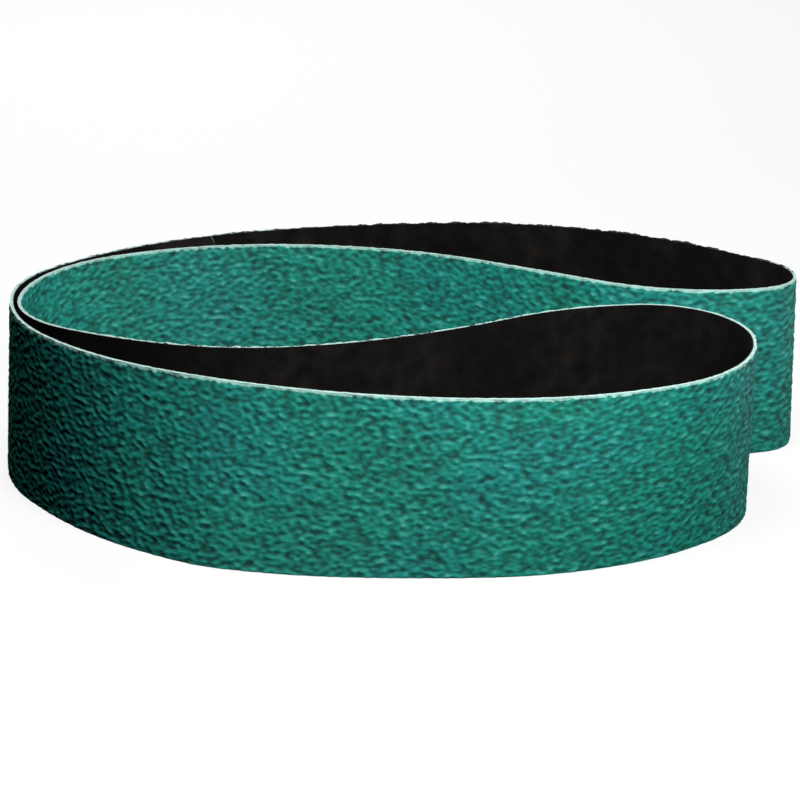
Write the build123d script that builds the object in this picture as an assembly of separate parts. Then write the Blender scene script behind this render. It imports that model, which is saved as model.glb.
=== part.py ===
from build123d import *
from math import atan2, cos, degrees, hypot, radians, sin, sqrt, tan
import os

# Sanding belt for a belt sander, folded for storage and standing on its edge.
#
# The belt is one endless strip: a cloth with a dark coat on its back and, on its
# face, a bond coat, the abrasive grain and a size coat over the grain.  The
# strip's two ends meet at a slanted butt joint, which a film holds from behind,
# glued into a pocket in the back coat.  Each layer is a solid of its own and
# touches the next face to face.
#
# Frame: +Z up, +X along the fold, origin under the middle of the fold.
# Depths are measured outward from the back face, which runs on the wheels.

# ---- Driving sizes, in millimetres and degrees ----
belt_length = 1066.8        # once round the back face
belt_width = 50.8

back_coat_thickness = 0.15
cloth_thickness = 0.70
make_coat_thickness = 0.12
grain_thickness = 0.43
size_coat_thickness = 0.10

splice_angle = 60.0         # between the butt joint and the belt's edge
splice_gap = 0.20           # left between the strip's two cut ends
splice_distance = 66.0      # from the middle of the rear run, along the belt
film_width = 19.0           # along the belt, half of it on each side of the joint
film_thickness = 0.10
adhesive_thickness = 0.05
pocket_clearance = 0.25     # between the film and each side of its pocket
slab_reach = 15.0           # of the slabs that cut the joint, either way from the back face

nest_clearance = 1.2        # between the two back faces at the closed end, where they nest

# ---- The fold from above: x, y and heading at the start of each stretch ----
# The belt is followed anticlockwise, so its face is always on the right.  These
# places give the fold its shape, and are scaled until the belt has its length.
left_end = (-107.0, 18.0, 270.0)
places_before_bay_end = [
    (-64.0, -43.5, 331.0),  # front left shoulder
    (27.5, -67.5, 0.0),     # front run
    (96.0, -21.0, 90.0),    # tip of the front lobe
    (67.0, 8.0, 184.0),     # back of the front lobe
    (-2.5, -21.0, 201.0),   # slope from the front lobe into the bay
    (-60.5, -25.5, 164.0),  # front wall of the bay
]
bay_end_y = 14.5            # the bay's closed end, nested inside the left end
places_after_bay_end = [
    (-30.5, 65.0, -3.0),    # rear wall of the bay
    (25.0, 49.5, -29.0),    # slope from the bay into the rear lobe
    (91.0, 22.0, 1.0),      # front of the rear lobe
    (113.0, 35.0, 90.0),    # tip of the rear lobe
    (96.0, 57.0, 140.0),    # rear right shoulder
]
rear_run = (13.0, 85.5, 183.0)
rear_left_shoulder = (-80.5, 58.5, 216.0)
fitting_rounds = 30         # each round brings the fold nearer to the belt's length

# ---- Depths of the layers' faces ----
cloth_back = back_coat_thickness
cloth_face = cloth_back + cloth_thickness
make_coat_face = cloth_face + make_coat_thickness
grain_face = make_coat_face + grain_thickness
belt_thickness = grain_face + size_coat_thickness
adhesive_back = cloth_back - adhesive_thickness
film_back = adhesive_back - film_thickness


class Bend:
    """One arc of the belt's back face.  A left turn has a positive radius and turn."""

    def __init__(self, x, y, heading, radius, turn):
        self.heading = heading
        self.radius = radius
        self.turn = turn
        self.length = radius * radians(turn)
        self.centre_x = x - radius * sin(radians(heading))
        self.centre_y = y + radius * cos(radians(heading))

    def heading_at(self, share):
        return radians(self.heading + share * self.turn)

    def point(self, share, depth):
        """The point that far round the arc, and that deep outward from the back face."""
        heading = self.heading_at(share)
        reach = self.radius + depth
        return Vector(self.centre_x + reach * sin(heading), self.centre_y - reach * cos(heading))

    def edge(self, depth):
        ends = self.point(0, depth), self.point(1, depth)
        return Edge.make_three_point_arc(ends[0], self.point(0.5, depth), ends[1])


def bend_to(x, y, heading, end_x, end_y):
    """The arc that leaves a point at that heading and ends at another point."""
    run = hypot(end_x - x, end_y - y)
    off_course = atan2(end_y - y, end_x - x) - radians(heading)
    off_course = atan2(sin(off_course), cos(off_course))
    return Bend(x, y, heading, run / (2 * sin(off_course)), 2 * degrees(off_course))


def two_bends(start, end):
    """Two tangent arcs between two places, leaving the first as evenly as they reach the second."""
    x, y, heading = start
    end_x, end_y, end_heading = end
    out = Vector(cos(radians(heading)), sin(radians(heading)))
    into = Vector(cos(radians(end_heading)), sin(radians(end_heading)))
    run = Vector(end_x - x, end_y - y)
    toward = run.dot(out + into)
    spread = 2 * (1 - out.dot(into))
    reach = (sqrt(toward ** 2 + spread * run.dot(run)) - toward) / spread
    join = (Vector(x, y) + out * reach + Vector(end_x, end_y) - into * reach) / 2
    first = bend_to(x, y, heading, join.X, join.Y)
    second = bend_to(join.X, join.Y, heading + first.turn, end_x, end_y)
    return [first, second]


def chain(places):
    bends = []
    for start, end in zip(places, places[1:]):
        bends += two_bends(start, end)
    return bends


def fold(scale):
    """All the arcs once round, and of these the ones from the rear run to the left end."""
    bay_end = (left_end[0] + nest_clearance / scale, bay_end_y, 90.0)
    places = [left_end, *places_before_bay_end, bay_end, *places_after_bay_end, rear_run]
    last_places = [rear_run, rear_left_shoulder, left_end]
    first_bends = chain([(x * scale, y * scale, heading) for x, y, heading in places])
    last_bends = chain([(x * scale, y * scale, heading) for x, y, heading in last_places])
    return first_bends + last_bends, last_bends


def fold_of_length(length):
    scale = 1.0
    for _ in range(fitting_rounds):
        bends, _ = fold(scale)
        scale *= length / sum(bend.length for bend in bends)
    return fold(scale)


bends, splice_bends = fold_of_length(belt_length)


# ---- Solids ----
def loop(depth):
    return Wire([bend.edge(depth) for bend in bends])


def layer(back, face):
    """The whole endless band between two depths."""
    return extrude(Face(loop(face), [loop(back)]), belt_width, dir=(0, 0, 1))


def splice_stretch(back, face):
    """The band between two depths, but only along the stretch that holds the joint."""
    first, last = splice_bends[0], splice_bends[-1]
    edges = [bend.edge(face) for bend in splice_bends]
    edges.append(Edge.make_line(last.point(1, face), last.point(1, back)))
    edges += [bend.edge(back) for bend in splice_bends]
    edges.append(Edge.make_line(first.point(0, back), first.point(0, face)))
    return extrude(Face(Wire(edges)), belt_width, dir=(0, 0, 1))


def splice_plane():
    """On the back face at the joint: x along the belt, y up and z outward."""
    remaining = splice_distance
    for bend in splice_bends:
        if remaining <= bend.length:
            break
        remaining -= bend.length
    share = remaining / bend.length
    heading = bend.heading_at(share)
    along = (cos(heading), sin(heading), 0)
    outward = (sin(heading), -cos(heading), 0)
    return Plane(origin=bend.point(share, 0), x_dir=along, z_dir=outward)


def slanted(width):
    """A slab across the belt, as wide as asked along the belt and parallel to the joint."""
    lean = belt_width / tan(radians(splice_angle))
    left, right = -(width + lean) / 2, (width - lean) / 2
    corners = [(left, 0), (right, 0), (right + lean, belt_width), (left + lean, belt_width)]
    outline = splice_plane() * Polyline(*corners, close=True)
    return extrude(Face(Wire(outline.edges())), slab_reach, both=True)


def on_splice(width, back, face):
    return slanted(width) & splice_stretch(back, face)


joint = on_splice(splice_gap / sin(radians(splice_angle)), cloth_back, belt_thickness)
pocket = on_splice(film_width + 2 * pocket_clearance, 0, cloth_back)

parts = {
    "back_coat": layer(0, cloth_back) - pocket,
    "backing_cloth": layer(cloth_back, cloth_face) - joint,
    "make_coat": layer(cloth_face, make_coat_face) - joint,
    "abrasive_grain": layer(make_coat_face, grain_face) - joint,
    "size_coat": layer(grain_face, belt_thickness) - joint,
    "splice_adhesive": on_splice(film_width, adhesive_back, cloth_back),
    "splice_film": on_splice(film_width, film_back, adhesive_back),
}

# The origin lies under the middle of the whole belt's box.
outside = Face(loop(belt_thickness)).bounding_box()
to_origin = Pos(-(outside.min.X + outside.max.X) / 2, -(outside.min.Y + outside.max.Y) / 2)

os.makedirs("parts", exist_ok=True)
for name, shape in parts.items():
    export_step(to_origin * shape, f"parts/{name}.step")
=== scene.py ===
import math

import bpy
import numpy as np
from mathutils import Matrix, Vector, noise


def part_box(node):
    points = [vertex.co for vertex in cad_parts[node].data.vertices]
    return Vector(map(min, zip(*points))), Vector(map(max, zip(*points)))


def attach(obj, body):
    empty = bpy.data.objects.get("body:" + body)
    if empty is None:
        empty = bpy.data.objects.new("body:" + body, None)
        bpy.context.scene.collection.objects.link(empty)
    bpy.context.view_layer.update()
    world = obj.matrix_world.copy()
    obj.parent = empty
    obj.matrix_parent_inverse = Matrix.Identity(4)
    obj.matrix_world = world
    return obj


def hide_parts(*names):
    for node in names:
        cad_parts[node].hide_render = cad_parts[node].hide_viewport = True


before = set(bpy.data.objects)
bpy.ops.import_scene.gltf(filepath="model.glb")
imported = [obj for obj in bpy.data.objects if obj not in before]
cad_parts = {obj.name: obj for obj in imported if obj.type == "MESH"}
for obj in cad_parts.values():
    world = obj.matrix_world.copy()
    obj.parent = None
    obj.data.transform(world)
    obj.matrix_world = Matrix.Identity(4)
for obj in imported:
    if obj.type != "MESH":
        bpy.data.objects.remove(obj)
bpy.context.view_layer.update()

# a sanding belt, folded and standing on its edge; every length is in metres
mm = 0.001
nearby = 0.01 * mm                 # two places closer than this are the same
print("frame loaded")

# ---- the belt ----
belt = {
    "length": 1066.8 * mm,         # once round the back face
    "width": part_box("backing_cloth")[1].z,
    "backCoat": 0.15 * mm,
    "cloth": 0.70 * mm,
    "face": 1.50 * mm,             # depth of the grain's tips, the whole thickness
    "nestClearance": 1.2 * mm,
    "spliceAngle": math.radians(60),
    "spliceGap": 0.20 * mm,
    "spliceDistance": 66 * mm,     # from the middle of the rear run
    "film": 19 * mm,
    "pocketClearance": 0.25 * mm,
}
belt["clothFace"] = belt["backCoat"] + belt["cloth"]

# how much dark resin was smeared over the slit edge, from 0 to 1, by millimetres along the belt
soil = [(0, 0.40), (30, 0.36), (70, 0.34), (86, 0.15), (110, 0.05), (400, 0.05), (440, 0.30),
        (530, 0.38), (612, 0.10), (720, 0.20), (780, 0.20), (850, 0.05), (879, 0.15), (895, 0.60),
        (917, 1.0), (1000, 0.90), (1045, 0.48), (1067, 0.40)]

# how far the lower edge stands out from under the upper one, by distance along the belt, both in
# millimetres: the wall leans a little along the front run and the front lobe
footLean = [(60, 0), (86, 2.5), (125, 2.5), (160, 6.5), (185, 9.5), (210, 6.5), (240, 2), (285, -2),
            (325, -6), (359, -1), (380, 0)]
footLeanBlend = 24                 # mm over which one stretch turns into the next

# the fold from above: x, y and heading, as millimetres and degrees before scaling
fold = {
    "leftEnd": (-107, 18, 270),
    "beforeBayEnd": [(-64, -43.5, 331), (27.5, -67.5, 0), (96, -21, 90), (67, 8, 184), (-2.5, -21, 201),
                     (-60.5, -25.5, 164)],
    "bayEndY": 14.5,
    "afterBayEnd": [(-30.5, 65, -3), (25, 49.5, -29), (91, 22, 1), (113, 35, 90), (96, 57, 140)],
    "rearRun": (13, 85.5, 183),
    "rearLeftShoulder": (-80.5, 58.5, 216),
    "fittingRounds": 30,
    "boxSteps": 40,                # points along each arc when the fold is centred
    "curveSteps": 32,              # points along each arc of the guide curve
}


def arcBetween(place, heading, end):
    run = end - place
    offCourse = math.atan2(run.y, run.x) - heading
    offCourse = math.atan2(math.sin(offCourse), math.cos(offCourse))
    radius = run.length / (2 * math.sin(offCourse))
    return {"place": place, "heading": heading, "radius": radius, "turn": 2 * offCourse}


def direction(heading):
    return Vector((math.cos(heading), math.sin(heading)))


# two tangent arcs, leaving the first place as evenly as they reach the second
def arcPair(start, end):
    place, heading = Vector(start[:2]), math.radians(start[2])
    goal, into = Vector(end[:2]), direction(math.radians(end[2]))
    out = direction(heading)
    run = goal - place
    toward = run.dot(out + into)
    spread = 2 * (1 - out.dot(into))
    reach = (math.sqrt(toward ** 2 + spread * run.length_squared) - toward) / spread
    join = (place + out * reach + goal - into * reach) / 2
    first = arcBetween(place, heading, join)
    return [first, arcBetween(join, heading + first["turn"], goal)]


def arcLength(arc):
    return arc["radius"] * arc["turn"]


def pointOnArc(arc, share, depth=0.0):
    heading = arc["heading"] + share * arc["turn"]
    centre = arc["place"] + arc["radius"] * Vector((-math.sin(arc["heading"]), math.cos(arc["heading"])))
    return centre + (arc["radius"] + depth) * Vector((math.sin(heading), -math.cos(heading)))


def foldedArcs(scale):
    bayEnd = (fold["leftEnd"][0] + belt["nestClearance"] / scale, fold["bayEndY"], 90)
    places = [fold["leftEnd"], *fold["beforeBayEnd"], bayEnd, *fold["afterBayEnd"], fold["rearRun"],
              fold["rearLeftShoulder"], fold["leftEnd"]]
    places = [(x * scale, y * scale, heading) for x, y, heading in places]
    arcs = []
    for start, end in zip(places, places[1:]):
        arcs += arcPair(start, end)
    return arcs


# the guide curve lies on the belt's back face, and starts at the splice
def makeGuide():
    scale = mm
    for _ in range(fold["fittingRounds"]):
        arcs = foldedArcs(scale)
        scale *= belt["length"] / sum(arcLength(arc) for arc in arcs)
    arcs = foldedArcs(scale)

    # the last four arcs run from the rear run to the left end, and hold the splice
    remaining, index = belt["spliceDistance"], len(arcs) - 4
    while remaining > arcLength(arcs[index]):
        remaining -= arcLength(arcs[index])
        index += 1
    cut = arcs[index]
    share = remaining / arcLength(cut)
    before = {**cut, "turn": cut["turn"] * share}
    after = {"place": pointOnArc(cut, share), "heading": cut["heading"] + before["turn"],
             "radius": cut["radius"], "turn": cut["turn"] - before["turn"]}
    arcs = [after, *arcs[index + 1:], *arcs[:index], before]

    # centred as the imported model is, by the box of the back coat's far side
    shares = [step / fold["boxSteps"] for step in range(fold["boxSteps"])]
    outline = [pointOnArc(arc, share, belt["backCoat"]) for arc in arcs for share in shares]
    low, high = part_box("back_coat")
    shift = Vector(((low.x + high.x - min(p.x for p in outline) - max(p.x for p in outline)) / 2,
                    (low.y + high.y - min(p.y for p in outline) - max(p.y for p in outline)) / 2))

    data = bpy.data.curves.new("foldGuide", "CURVE")
    data.dimensions = "3D"
    data.twist_mode = "Z_UP"
    data.resolution_u = fold["curveSteps"]
    spline = data.splines.new("BEZIER")
    spline.bezier_points.add(len(arcs) - 1)
    # a closed guide is measured from its last point, so the splice goes there
    for number, arc in enumerate(arcs):
        point = spline.bezier_points[number - 1]
        last = arcs[number - 1]
        place = (arc["place"] + shift).to_3d()
        along = direction(arc["heading"]).to_3d()
        point.co = place
        point.handle_left = place - along * last["radius"] * math.tan(last["turn"] / 4) * 4 / 3
        point.handle_right = place + along * arc["radius"] * math.tan(arc["turn"] / 4) * 4 / 3
    spline.use_cyclic_u = True
    guide = bpy.data.objects.new("foldGuide", data)
    bpy.context.scene.collection.objects.link(guide)
    return guide


guide = makeGuide()


# ---- shared steps ----
def deselectAll():
    for thing in bpy.context.selected_objects:
        thing.select_set(False)


# the belt is modelled laid out straight: x along it, z up and its face towards -y
def addWall(name, start, end, columns, rows, depth):
    deselectAll()
    middle = ((start + end) / 2, -depth, belt["width"] / 2)
    bpy.ops.mesh.primitive_grid_add(x_subdivisions=columns, y_subdivisions=rows, size=1,
                                    location=middle, rotation=(math.pi / 2, 0, 0))
    piece = bpy.context.object
    piece.name = piece.data.name = name
    piece.scale = (end - start, belt["width"], 1)
    bpy.ops.object.transform_apply(location=True, rotation=True, scale=True)
    return piece


def readPlaces(piece):
    places = np.empty(len(piece.data.vertices) * 3)
    piece.data.vertices.foreach_get("co", places)
    return places.reshape(-1, 3)


def writePlaces(piece, places):
    piece.data.vertices.foreach_set("co", places.ravel())
    piece.data.update()


# leans an end of the wall over to the splice's angle, and less and less away from it
def leanEnd(piece, end, reach):
    places = readPlaces(piece)
    fade = np.clip(1 - np.abs(places[:, 0] - end) / reach, 0, 1)
    places[:, 0] += fade * (places[:, 2] - belt["width"] / 2) / math.tan(belt["spliceAngle"])
    writePlaces(piece, places)


def applyModifiers(piece):
    bpy.context.view_layer.objects.active = piece
    for modifier in list(piece.modifiers):
        bpy.ops.object.modifier_apply(modifier=modifier.name)


# moves the surface by a texture whose features are as large as asked: the face, which looks
# towards -y, is raised, and an edge on the Z axis is pulled down
def addDisplace(piece, name, kind, size, height, along=1.0, group="", settings=None, axis="Y"):
    texture = bpy.data.textures.new(name, kind)
    texture.noise_scale = 1.0
    for key, value in (settings or {}).items():
        setattr(texture, key, value)
    ruler = bpy.data.objects.new(name + "Ruler", None)
    ruler.scale = (size * along, size, size)
    bpy.context.scene.collection.objects.link(ruler)
    modifier = piece.modifiers.new(name, "DISPLACE")
    modifier.texture = texture
    modifier.texture_coords = "OBJECT"
    modifier.texture_coords_object = ruler
    modifier.direction = axis
    modifier.mid_level = 0
    modifier.strength = -height
    modifier.vertex_group = group
    bpy.context.view_layer.update()
    return ruler


def soilAt(along):
    return np.interp(along, [place * mm for place, _ in soil], [amount for _, amount in soil])


# the slit edge along the top
slitEdge = {
    "reach": 1.2 * mm,             # down from the edge
    "tuft": 2.2 * mm,
    "thread": 0.8 * mm,
    "threadShare": 0.5,            # of the roughness, next to the tufts
    "clean": 0.08 * mm,            # height of the roughness, and what the resin adds to it
    "soiled": 0.45 * mm,
}


# smooth, so that the wall has no creases where the lean changes
def footLeanAt(along):
    everyMm = np.arange(round(belt["length"] / mm) + 1)
    wanted = np.interp(everyMm, [place for place, _ in footLean], [amount for _, amount in footLean])
    window = np.hanning(footLeanBlend + 2)
    return np.interp(along / mm, everyMm, np.convolve(wanted, window / window.sum(), "same")) * mm


# a number for each point, which a material reads by its name
def keepValue(piece, name, values):
    kept = piece.data.attributes.new(name, "FLOAT", "POINT")
    kept.data.foreach_set("value", np.asarray(values, np.float32))


# every point keeps its place on the straight belt, which the materials follow
def keepFlatPlaces(piece):
    places = readPlaces(piece)
    flat = piece.data.attributes.new("flat", "FLOAT_VECTOR", "POINT")
    flat.data.foreach_set("vector", places.astype(np.float32).ravel())
    keepValue(piece, "soiled", soilAt(places[:, 0]))


# threads and crystals pulled up and down along the top edge, most where the resin is
def roughenTop(piece):
    s = slitEdge
    places = readPlaces(piece)
    near = np.nonzero(places[:, 2] > belt["width"] - s["reach"])[0]
    smeared = soilAt(places[near, 0])
    for index, soiled in zip(near.tolist(), smeared.tolist()):
        x, y, z = places[index]
        fade = 1 - (belt["width"] - z) / s["reach"]
        tufts = noise.noise((x / s["tuft"], y / s["tuft"], 5.0))
        threads = noise.noise((x / s["thread"], 0, 9.0))
        pulled = tufts + s["threadShare"] * threads
        places[index, 2] += pulled * fade ** 2 * (s["clean"] + s["soiled"] * soiled)
    writePlaces(piece, places)


# leans the straight wall's foot, then bends the wall round the guide
def foldPiece(piece):
    places = readPlaces(piece)
    places[:, 1] -= footLeanAt(places[:, 0]) * (1 - places[:, 2] / belt["width"])
    writePlaces(piece, places)
    modifier = piece.modifiers.new("fold", "CURVE")
    modifier.object = guide
    modifier.deform_axis = "POS_X"
    applyModifiers(piece)


# ---- the grain coat ----
grainCoat = {
    "sections": 8,
    "pitch": 0.30 * mm,            # between neighbouring points of the relief
    "base": 0.90 * mm,             # depth of the lowest gaps between crystals
    "crystal": 0.95 * mm,          # P36 crystals in twos and threes under their size coat
    "crystalStretch": 1.5,         # they lie along the belt, in the coater's direction
    "crystalHeight": 0.17 * mm,
    "facet": 0.50 * mm,
    "facetHeight": 0.04 * mm,
    "clump": 1.25 * mm,            # ridges where the grain fell more thickly
    "clumpHeight": 0.36 * mm,
    "chippedTop": 1.05 * mm,       # crystals broken away along the slit edges
    "chippedBottom": 0.25 * mm,
    "chipLength": 1.4 * mm,        # of one chip, along the belt
    "chipHeight": 2 * mm,
    "chipRun": 6 * mm,             # of several chips side by side
    "chipDepth": (0.8, 0.5),       # how unevenly one chip and a run of them bite
    "edgeHeight": 0.80,            # what is left of the grain at the top edge, where it was cut flush
    "jag": 0.30 * mm,              # some crystals still reach the edge
    "jagLength": 0.9 * mm,
    "contrast": 1.3,               # flattens the tops and bottoms of crystals and clumps
}


# how whole the crystals are at each point, from 0 where the slitting knife broke them to 1;
# the last number of each noise place only keeps the patterns apart
def wholeness(places):
    g = grainCoat
    whole = np.ones(len(places))
    fromTop, fromBottom = belt["width"] - places[:, 2], places[:, 2]
    nearest = np.minimum(fromTop, fromBottom)
    smeared = soilAt(places[:, 0])
    single, runs = g["chipDepth"]
    for index in np.nonzero(nearest < 3 * g["chippedTop"])[0].tolist():
        x, _, z = places[index]
        chips = 1 + single * noise.noise((x / g["chipLength"], z / g["chipHeight"], 3.0))
        chips += runs * noise.noise((x / g["chipRun"], 0, 7.0))
        width = g["chippedTop"] * (1 - 0.7 * smeared[index])    # the resin hides most chips
        if fromBottom[index] < fromTop[index]:
            width = g["chippedBottom"]
        jag = g["jag"] * smeared[index] * noise.noise((x / g["jagLength"], 0, 11.0))
        share = (nearest[index] + jag) / (width * max(chips, 0.25))
        whole[index] = max(0.0, min(1.0, share)) ** 2
    return whole


def grainSection(number):
    g = grainCoat
    length = belt["length"] / g["sections"]
    halfGap = belt["spliceGap"] / 2 / math.sin(belt["spliceAngle"])
    first, last = number == 0, number == g["sections"] - 1
    start = number * length + (halfGap if first else 0)
    end = (number + 1) * length - (halfGap if last else 0)
    columns, rows = round(length / g["pitch"]), round(belt["width"] / g["pitch"])
    piece = addWall(f"grainCoat{number + 1}", start, end, columns, rows, g["base"])
    if first:
        leanEnd(piece, start, end - start)
    if last:
        leanEnd(piece, end, end - start)

    places = readPlaces(piece)
    whole = wholeness(places)
    height = g["edgeHeight"] + (1 - g["edgeHeight"]) * whole
    grown = piece.vertex_groups.new(name="grown")
    intact = whole == 1
    grown.add(np.nonzero(intact)[0].tolist(), 1.0, "REPLACE")
    for index in np.nonzero(~intact)[0].tolist():
        grown.add([index], height[index], "REPLACE")
    # broken crystals are drawn pale along the top edge only; along the bottom edge they keep the face
    # colour, painted shade where the belt stands on the floor
    keepValue(piece, "chipped", np.where(places[:, 2] > belt["width"] / 2, 1 - whole, 0))

    stretch, contrast = g["crystalStretch"], g["contrast"]
    rulers = [
        addDisplace(piece, "crystals", "VORONOI", g["crystal"], g["crystalHeight"], stretch, "grown",
                    {"weight_1": -1.0, "weight_2": 1.0, "noise_intensity": 1.0, "contrast": contrast}),
        addDisplace(piece, "facets", "VORONOI", g["facet"], g["facetHeight"], stretch, "grown",
                    {"weight_1": 1.0}),
        addDisplace(piece, "clumps", "CLOUDS", g["clump"], g["clumpHeight"], stretch, "grown",
                    {"noise_depth": 0, "contrast": contrast}),
    ]
    applyModifiers(piece)
    for ruler in rulers:
        bpy.data.objects.remove(ruler)

    # no tip stands past the belt's thickness, and no gap goes deeper than the base
    places = readPlaces(piece)
    places[:, 1] = np.clip(places[:, 1], -belt["face"], -g["base"])
    writePlaces(piece, places)
    keepValue(piece, "relief", (-places[:, 1] - g["base"]) / (belt["face"] - g["base"]))

    # closed behind: walls down to the cloth, and one row of long faces across it
    bpy.ops.object.mode_set(mode="EDIT")
    bpy.ops.mesh.select_mode(type="EDGE")
    bpy.ops.mesh.select_all(action="SELECT")
    bpy.ops.mesh.region_to_loop()
    bpy.ops.mesh.mark_sharp()
    bpy.ops.mesh.extrude_edges_move(TRANSFORM_OT_translate={"value": (0, 0.1 * mm, 0)})
    bpy.ops.transform.resize(value=(1, 0, 1), center_override=(0, -belt["clothFace"], 0))
    bpy.ops.mesh.mark_sharp()
    bpy.ops.object.mode_set(mode="OBJECT")
    backFace = -belt["clothFace"] - 0.1 * nearby
    places = readPlaces(piece)
    behind = places[:, 1] > backFace
    onLongEdge = (places[:, 2] < nearby) | (places[:, 2] > belt["width"] - nearby)
    selectPoints(piece, behind & ~onLongEdge)
    bpy.ops.object.mode_set(mode="EDIT")
    bpy.ops.mesh.dissolve_verts()
    bpy.ops.object.mode_set(mode="OBJECT")
    places = readPlaces(piece)
    behind = places[:, 1] > backFace
    selectEdges(piece, behind, lambda a, b: abs(a[2] - b[2]) < nearby)
    bpy.ops.object.mode_set(mode="EDIT")
    bpy.ops.mesh.bridge_edge_loops()
    bpy.ops.mesh.select_all(action="SELECT")
    bpy.ops.mesh.normals_make_consistent(inside=False)
    bpy.ops.object.mode_set(mode="OBJECT")
    bpy.ops.object.shade_smooth()
    keepFlatPlaces(piece)
    roughenTop(piece)
    foldPiece(piece)
    return piece


def selectPoints(piece, chosen):
    data = piece.data
    bpy.ops.object.mode_set(mode="EDIT")
    bpy.ops.mesh.select_mode(type="VERT")
    bpy.ops.mesh.select_all(action="DESELECT")
    bpy.ops.object.mode_set(mode="OBJECT")
    data.vertices.foreach_set("select", chosen)
    data.update()


def selectEdges(piece, chosen, test):
    data = piece.data
    bpy.ops.object.mode_set(mode="EDIT")
    bpy.ops.mesh.select_mode(type="EDGE")
    bpy.ops.mesh.select_all(action="DESELECT")
    bpy.ops.object.mode_set(mode="OBJECT")
    places = readPlaces(piece)
    for side in data.edges:
        a, b = side.vertices
        if chosen[a] and chosen[b] and test(places[a], places[b]):
            side.select = True
    data.update()


grainPieces = [grainSection(number) for number in range(grainCoat["sections"])]
print("grain coat made")


# ---- the backing cloth ----
cloth = {
    "pitch": 0.40 * mm,
    "rows": 12,
    "crowded": 3,                  # rows that crowd towards each slit edge, where the cloth shows
    "crowdedPitch": 0.45 * mm,
    "layers": 3,
    "fray": 0.09 * mm,
    "frayLength": 1.1 * mm,
    "spliceReach": 100 * mm,       # over which the splice's slant fades out
}
smoothAngle = math.radians(50)     # flatter corners than this are shaded smooth


def backingCloth():
    halfGap = belt["spliceGap"] / 2 / math.sin(belt["spliceAngle"])
    start, end = halfGap, belt["length"] - halfGap
    columns = round(belt["length"] / cloth["pitch"])
    piece = addWall("backingCloth", start, end, columns, cloth["rows"], belt["clothFace"])

    places = readPlaces(piece)
    row = np.round(places[:, 2] / belt["width"] * cloth["rows"])
    fromEdge = np.minimum(row, cloth["rows"] - row)
    near = fromEdge <= cloth["crowded"]
    crowded = np.where(near, fromEdge * cloth["crowdedPitch"], 0)
    up = row > cloth["rows"] / 2
    places[:, 2] = np.where(near, np.where(up, belt["width"] - crowded, crowded), places[:, 2])
    writePlaces(piece, places)
    leanEnd(piece, start, cloth["spliceReach"])
    leanEnd(piece, end, cloth["spliceReach"])
    bpy.ops.object.mode_set(mode="EDIT")
    bpy.ops.mesh.select_mode(type="FACE")
    bpy.ops.mesh.select_all(action="SELECT")
    for _ in range(cloth["layers"]):
        step = belt["cloth"] / cloth["layers"]
        bpy.ops.mesh.extrude_region_move(TRANSFORM_OT_translate={"value": (0, step, 0)})
    bpy.ops.mesh.select_all(action="SELECT")
    bpy.ops.mesh.normals_make_consistent(inside=False)
    bpy.ops.object.mode_set(mode="OBJECT")

    places = readPlaces(piece)
    slit = piece.vertex_groups.new(name="slit")
    top = np.nonzero(places[:, 2] > belt["width"] - nearby)[0]
    slit.add(top.tolist(), 1.0, "REPLACE")
    ruler = addDisplace(piece, "fray", "CLOUDS", cloth["frayLength"], cloth["fray"], 1.0, "slit",
                        {"noise_depth": 3}, "Z")
    applyModifiers(piece)
    bpy.data.objects.remove(ruler)
    bpy.ops.object.shade_smooth_by_angle(angle=smoothAngle)
    keepFlatPlaces(piece)
    roughenTop(piece)
    foldPiece(piece)
    return piece


clothPiece = backingCloth()
print("backing cloth made")


# ---- the back coat ----
backCoat = {"pitch": 1.0 * mm, "spliceReach": 100 * mm}


def darkBack():
    pocket = belt["film"] / 2 + belt["pocketClearance"]
    start, end = pocket, belt["length"] - pocket
    columns, rows = round(belt["length"] / backCoat["pitch"]), round(belt["width"] / backCoat["pitch"])
    piece = addWall("backCoat", start, end, columns, rows, belt["backCoat"])
    leanEnd(piece, start, backCoat["spliceReach"])
    leanEnd(piece, end, backCoat["spliceReach"])
    bpy.ops.object.mode_set(mode="EDIT")
    bpy.ops.mesh.select_mode(type="FACE")
    bpy.ops.mesh.select_all(action="SELECT")
    bpy.ops.mesh.extrude_region_move(TRANSFORM_OT_translate={"value": (0, belt["backCoat"], 0)})
    bpy.ops.mesh.select_all(action="SELECT")
    bpy.ops.mesh.normals_make_consistent(inside=False)
    bpy.ops.object.mode_set(mode="OBJECT")
    bpy.ops.object.shade_smooth_by_angle(angle=smoothAngle)
    keepFlatPlaces(piece)
    foldPiece(piece)
    return piece


backPiece = darkBack()
print("back coat made")


# ---- materials ----
def colour(hexText):
    parts = [int(hexText[at:at + 2], 16) / 255 for at in (1, 3, 5)]
    return [p / 12.92 if p <= 0.04045 else ((p + 0.055) / 1.055) ** 2.4 for p in parts] + [1.0]


def add(tree, kind, inputs=None, **settings):
    made = tree.nodes.new("ShaderNode" + kind)
    for name, value in settings.items():
        setattr(made, name, value)
    for name, value in (inputs or {}).items():
        if isinstance(value, bpy.types.NodeSocket):
            tree.links.new(value, made.inputs[name])
        else:
            made.inputs[name].default_value = value
    return made


def newMaterial(name):
    material = bpy.data.materials.new(name)
    material.use_nodes = True
    tree = material.node_tree
    return material, tree, tree.nodes["Principled BSDF"]


def setStops(rampNode, stops):
    elements = rampNode.color_ramp.elements
    while len(elements) < len(stops):
        elements.new(0.5)
    for element, (place, value) in zip(elements, stops):
        element.position = place
        element.color = colour(value)
    return rampNode.outputs["Color"]


# a wave texture turns once in pi/10 of its own units
def waveScale(pitch):
    return math.pi / 10 / pitch


resinSmear = "#120f0d"            # the back's resin where it ran over the slit edge


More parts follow.
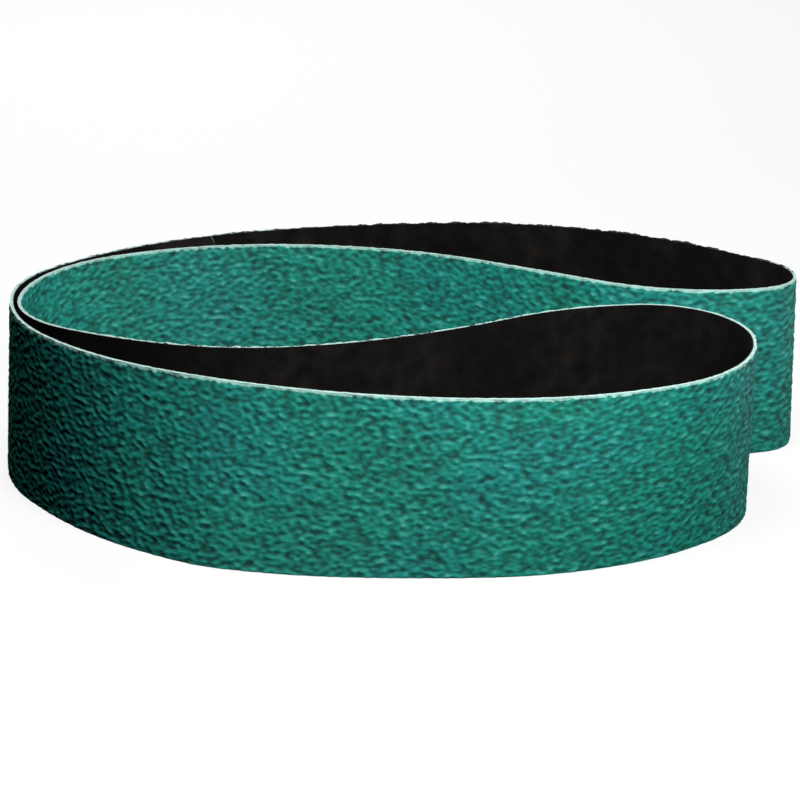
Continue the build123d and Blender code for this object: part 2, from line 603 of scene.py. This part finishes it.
# dark resin over the slit edge: solid where it is thick, and broken into flecks where it is thin
def smearOf(tree, flat, fleck):
    soiled = add(tree, "Attribute", attribute_name="soiled").outputs["Fac"]
    flecks = add(tree, "TexNoise", {"Vector": flat, "Scale": 1 / fleck, "Detail": 2}).outputs["Fac"]
    both = add(tree, "Math", {0: soiled, 1: flecks}, operation="ADD").outputs[0]
    return add(tree, "MapRange", {"Value": both, "From Min": 0.83, "From Max": 0.98}).outputs[0]


# ceramic crystals set in green phenolic resin; the colour is painted shade, darker in the gaps between
# crystals, and a painted highlight, paler on their tips; along the slit edge the broken crystals show
# pale
def grainMaterial():
    look = {
        "crystal": 0.9 * mm,
        "clump": 6 * mm,
        "drift": 28 * mm,          # slow turn from green to teal along the belt
        "roughening": 0.22 * mm,
        "fleck": 1.6 * mm,
        "crystalShare": 0.12,      # how much a crystal's and a clump's own tone change the colour
        "clumpShare": 0.20,
        # the low stops are painted shade for the gaps, the top stops a painted highlight for the tips
        "green": [(0.10, "#003a30"), (0.38, "#066c5d"), (0.70, "#108b7a"), (1.0, "#58ab9d")],
        "teal": [(0.10, "#003935"), (0.38, "#076b63"), (0.70, "#128981"), (1.0, "#5aaca3")],
        "broken": [(0.45, "#3f9382"), (0.75, "#74b5a7"), (1.0, "#98c4ba")],
    }
    material, tree, shader = newMaterial("resinBondedCeramicGrain")
    flat = add(tree, "Attribute", attribute_name="flat").outputs["Vector"]
    relief = add(tree, "Attribute", attribute_name="relief").outputs["Fac"]
    chipped = add(tree, "Attribute", attribute_name="chipped").outputs["Fac"]
    stretch = (1 / grainCoat["crystalStretch"], 1, 1)
    along = add(tree, "Mapping", {"Vector": flat, "Scale": stretch}).outputs[0]

    # the crystals differ in tone, and so do whole clumps of them
    crystals = add(tree, "TexVoronoi", {"Vector": along, "Scale": 1 / look["crystal"]})
    tone = add(tree, "SeparateColor", {"Color": crystals.outputs["Color"]}).outputs[0]
    clumps = add(tree, "TexNoise", {"Vector": along, "Scale": 1 / look["clump"],
                                    "Detail": 3}).outputs["Fac"]
    drift = add(tree, "TexNoise", {"Vector": along, "Scale": 1 / look["drift"],
                                   "Detail": 2}).outputs["Fac"]
    # the relief height sets most of the colour: painted shade low in the gaps, painted highlight on the
    # tips
    height = add(tree, "Math", {0: tone, 1: look["crystalShare"], 2: relief}, operation="MULTIPLY_ADD")
    height = add(tree, "Math", {0: clumps, 1: look["clumpShare"], 2: height.outputs[0]},
                 operation="MULTIPLY_ADD").outputs[0]
    green = setStops(add(tree, "ValToRGB", {"Fac": height}), look["green"])
    teal = setStops(add(tree, "ValToRGB", {"Fac": height}), look["teal"])
    turn = add(tree, "MapRange", {"Value": drift, "From Min": 0.40, "From Max": 0.62}).outputs[0]
    face = add(tree, "Mix", {0: turn, 6: green, 7: teal}, data_type="RGBA").outputs[2]

    # broken crystals, from mint where they still hold resin to nearly white
    fine = add(tree, "TexNoise", {"Vector": flat, "Scale": 1 / look["roughening"],
                                  "Detail": 2}).outputs["Fac"]
    uneven = add(tree, "Math", {0: fine, 1: 0.5, 2: chipped}, operation="MULTIPLY_ADD").outputs[0]
    broken = setStops(add(tree, "ValToRGB", {"Fac": uneven}), look["broken"])
    bare = add(tree, "MapRange", {"Value": uneven, "From Min": 0.48, "From Max": 0.72}).outputs[0]
    smear = smearOf(tree, flat, look["fleck"])
    clean = add(tree, "Math", {0: 1.0, 1: smear}, operation="SUBTRACT").outputs[0]
    showing = add(tree, "Math", {0: bare, 1: clean}, operation="MULTIPLY").outputs[0]
    mixed = add(tree, "Mix", {0: showing, 6: face, 7: broken}, data_type="RGBA").outputs[2]
    # where the resin was smeared over them, they are dark
    hidden = add(tree, "Math", {0: bare, 1: smear}, operation="MULTIPLY").outputs[0]
    mixed = add(tree, "Mix", {0: hidden, 6: mixed, 7: colour(resinSmear)}, data_type="RGBA").outputs[2]
    tree.links.new(mixed, shader.inputs["Base Color"])

    rough = add(tree, "MapRange", {"Value": relief, "To Min": 0.80, "To Max": 0.45}).outputs[0]
    tree.links.new(rough, shader.inputs["Roughness"])
    shader.inputs["Specular IOR Level"].default_value = 0.45
    bump = add(tree, "Bump", {"Height": fine, "Distance": 0.05 * mm, "Strength": 0.7})
    tree.links.new(bump.outputs[0], shader.inputs["Normal"])
    return material


# undyed polyester cloth where it was slit: pale cut yarn ends, with resin smeared over them.
# The real yarns are 0.4 mm apart; they are drawn coarser, so that they show
def clothMaterial():
    look = {"yarn": 0.9 * mm, "tint": 2.5 * mm, "fleck": 1.6 * mm}
    material, tree, shader = newMaterial("slitPolyesterCloth")
    flat = add(tree, "Attribute", attribute_name="flat").outputs["Vector"]
    yarns = add(tree, "TexWave", {"Vector": flat, "Scale": waveScale(look["yarn"]), "Distortion": 1.5},
                bands_direction="X").outputs["Fac"]
    tint = add(tree, "TexNoise", {"Vector": flat, "Scale": 1 / look["tint"],
                                  "Detail": 3}).outputs["Fac"]
    shade = add(tree, "Math", {0: yarns, 1: 0.35, 2: tint}, operation="MULTIPLY_ADD").outputs[0]
    pale = setStops(add(tree, "ValToRGB", {"Fac": shade}), [
        (0.35, "#6f8f89"), (0.60, "#8ba39f"), (0.85, "#a0b3b0")])
    smear = smearOf(tree, flat, look["fleck"])
    mixed = add(tree, "Mix", {0: smear, 6: pale, 7: colour(resinSmear)}, data_type="RGBA").outputs[2]
    tree.links.new(mixed, shader.inputs["Base Color"])
    shader.inputs["Roughness"].default_value = 0.85
    shader.inputs["Specular IOR Level"].default_value = 0.3
    bump = add(tree, "Bump", {"Height": yarns, "Distance": 0.08 * mm, "Strength": 0.6})
    tree.links.new(bump.outputs[0], shader.inputs["Normal"])
    return material


# dark phenolic resin rubbed into the cloth's back: almost black and dull, rubbed browner in
# patches, with the weave showing faintly through, drawn at twice its pitch
def backMaterial():
    look = {
        "weave": 0.8 * mm,
        "rub": 5 * mm,
        "patch": 26 * mm,
        "dark": [(0.14, "#020202"), (0.28, "#0a0908"), (0.48, "#1b1714")],
    }
    material, tree, shader = newMaterial("resinFilledBack")
    flat = add(tree, "Attribute", attribute_name="flat").outputs["Vector"]
    warp = add(tree, "TexWave", {"Vector": flat, "Scale": waveScale(look["weave"]), "Distortion": 0.6},
               bands_direction="Z").outputs["Fac"]
    weft = add(tree, "TexWave", {"Vector": flat, "Scale": waveScale(look["weave"]), "Distortion": 0.6},
               bands_direction="X").outputs["Fac"]
    weave = add(tree, "Math", {0: warp, 1: weft}, operation="MULTIPLY").outputs[0]
    rub = add(tree, "TexNoise", {"Vector": flat, "Scale": 1 / look["rub"],
                                 "Detail": 4}).outputs["Fac"]
    patch = add(tree, "TexNoise", {"Vector": flat, "Scale": 1 / look["patch"],
                                   "Detail": 2}).outputs["Fac"]
    tone = add(tree, "Math", {0: rub, 1: patch}, operation="MULTIPLY").outputs[0]
    tone = add(tree, "Math", {0: weave, 1: 0.10, 2: tone}, operation="MULTIPLY_ADD").outputs[0]
    dark = setStops(add(tree, "ValToRGB", {"Fac": tone}), look["dark"])
    tree.links.new(dark, shader.inputs["Base Color"])
    rough = add(tree, "MapRange", {"Value": rub, "From Min": 0.3, "From Max": 0.7,
                                   "To Min": 0.95, "To Max": 0.7})
    tree.links.new(rough.outputs[0], shader.inputs["Roughness"])
    shader.inputs["Specular IOR Level"].default_value = 0.12
    bump = add(tree, "Bump", {"Height": weave, "Distance": 0.03 * mm, "Strength": 0.6})
    tree.links.new(bump.outputs[0], shader.inputs["Normal"])
    return material


# black polyester splicing tape with reinforcing threads across the joint, smoother than the
# resin round it
def filmMaterial():
    look = {"thread": 0.7 * mm, "scuff": 3 * mm}
    material, tree, shader = newMaterial("splicingTape")
    place = add(tree, "TexCoord").outputs["Object"]
    threads = add(tree, "TexWave", {"Vector": place, "Scale": waveScale(look["thread"]),
                                    "Distortion": 0.3}, bands_direction="Z").outputs["Fac"]
    scuffs = add(tree, "TexNoise", {"Vector": place, "Scale": 1 / look["scuff"],
                                    "Detail": 4}).outputs["Fac"]
    dark = setStops(add(tree, "ValToRGB", {"Fac": scuffs}), [(0.3, "#0b0a09"), (0.7, "#1a1714")])
    tree.links.new(dark, shader.inputs["Base Color"])
    rough = add(tree, "MapRange", {"Value": scuffs, "To Min": 0.45, "To Max": 0.75}).outputs[0]
    tree.links.new(rough, shader.inputs["Roughness"])
    shader.inputs["Specular IOR Level"].default_value = 0.2
    bump = add(tree, "Bump", {"Height": threads, "Distance": 0.02 * mm, "Strength": 0.5})
    tree.links.new(bump.outputs[0], shader.inputs["Normal"])
    return material


# cured polyurethane adhesive squeezed out at the tape's edges: dark amber and a little glossy
def adhesiveMaterial():
    material, tree, shader = newMaterial("curedAdhesive")
    place = add(tree, "TexCoord").outputs["Object"]
    pools = add(tree, "TexNoise", {"Vector": place, "Scale": 1 / (1.5 * mm), "Detail": 3}).outputs["Fac"]
    amber = setStops(add(tree, "ValToRGB", {"Fac": pools}), [(0.3, "#120c07"), (0.7, "#2b1c0e")])
    tree.links.new(amber, shader.inputs["Base Color"])
    shader.inputs["Roughness"].default_value = 0.4
    bump = add(tree, "Bump", {"Height": pools, "Distance": 0.03 * mm, "Strength": 0.5})
    tree.links.new(bump.outputs[0], shader.inputs["Normal"])
    return material


grainLook = grainMaterial()
clothLook = clothMaterial()
backLook = backMaterial()
for node, look in (("splice_film", filmMaterial()), ("splice_adhesive", adhesiveMaterial())):
    nodeData = bpy.data.objects[node].data
    nodeData.materials.clear()
    nodeData.materials.append(look)


def dress(piece, material, slot, *nodes):
    piece.data.materials.clear()
    piece.data.materials.append(material)
    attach(piece, "root")
    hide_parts(*nodes)


print("materials made")

for piece in grainPieces:
    dress(piece, grainLook, "abrasive_grain", "abrasive_grain", "make_coat", "size_coat")
dress(clothPiece, clothLook, "backing_cloth", "backing_cloth")
dress(backPiece, backLook, "back_coat", "back_coat")
bpy.data.objects.remove(guide)
print("pieces dressed")

# ---- floor, lights and camera ----
deselectAll()
bpy.ops.mesh.primitive_plane_add(size=12, location=(0, 0, 0))
floor = bpy.context.object
floor.name = "floor"
floorLook, floorTree, floorShader = newMaterial("paleFloor")
floorShader.inputs["Base Color"].default_value = colour("#5a5a5a")
floorShader.inputs["Roughness"].default_value = 0.9
floorShader.inputs["Emission Color"].default_value = colour("#ffffff")
floorShader.inputs["Emission Strength"].default_value = 0.82
floor.data.materials.append(floorLook)
floor.visible_diffuse = False
floor.visible_glossy = False

world = bpy.data.worlds.new("studio")
world.use_nodes = True
world.node_tree.nodes["Background"].inputs["Color"].default_value = colour("#f4f4f4")
world.cycles_visibility.diffuse = False
world.cycles_visibility.glossy = False
bpy.context.scene.world = world
bpy.context.scene.view_settings.view_transform = "Standard"


def areaLight(name, place, aim, size, power):
    data = bpy.data.lights.new(name, "AREA")
    data.shape = "RECTANGLE"
    data.size, data.size_y = size
    data.energy = power
    light = bpy.data.objects.new(name, data)
    light.location = place
    light.rotation_euler = (Vector(aim) - Vector(place)).to_track_quat("-Z", "Y").to_euler()
    light.visible_camera = False
    bpy.context.scene.collection.objects.link(light)
    return light


areaLight("key", (0.11, -0.23, 0.236), (0, -0.01, 0.03), (0.14, 0.14), 1.3)
areaLight("top", (-0.068, -0.109, 0.60), (0, -0.01, 0.03), (0.20, 0.20), 2.65)
areaLight("right", (0.241, 0.041, 0.06), (0, -0.01, 0.03), (0.14, 0.14), 0.10)
areaLight("back", (-0.15, 0.7, 0.45), (0.0, 0.05, 0.03), (0.5, 0.3), 4.0)

cameraData = bpy.data.cameras.new("camera")
camera = bpy.data.objects.new("camera", cameraData)
bpy.context.scene.collection.objects.link(camera)
view = {
    "lens": 150.5,
    "sensor": 36,
    "elevation": math.radians(20),
    "distance": 951 * mm,
    "target": Vector((-2.0 * mm, -10.3 * mm, belt["width"] / 2)),
}
cameraData.lens = view["lens"]
cameraData.sensor_width = view["sensor"]
back = Vector((0, -math.cos(view["elevation"]), math.sin(view["elevation"])))
camera.location = view["target"] + view["distance"] * back
camera.rotation_euler = (math.pi / 2 - view["elevation"], 0, 0)
bpy.context.scene.camera = camera
print("floor, lights and camera set")
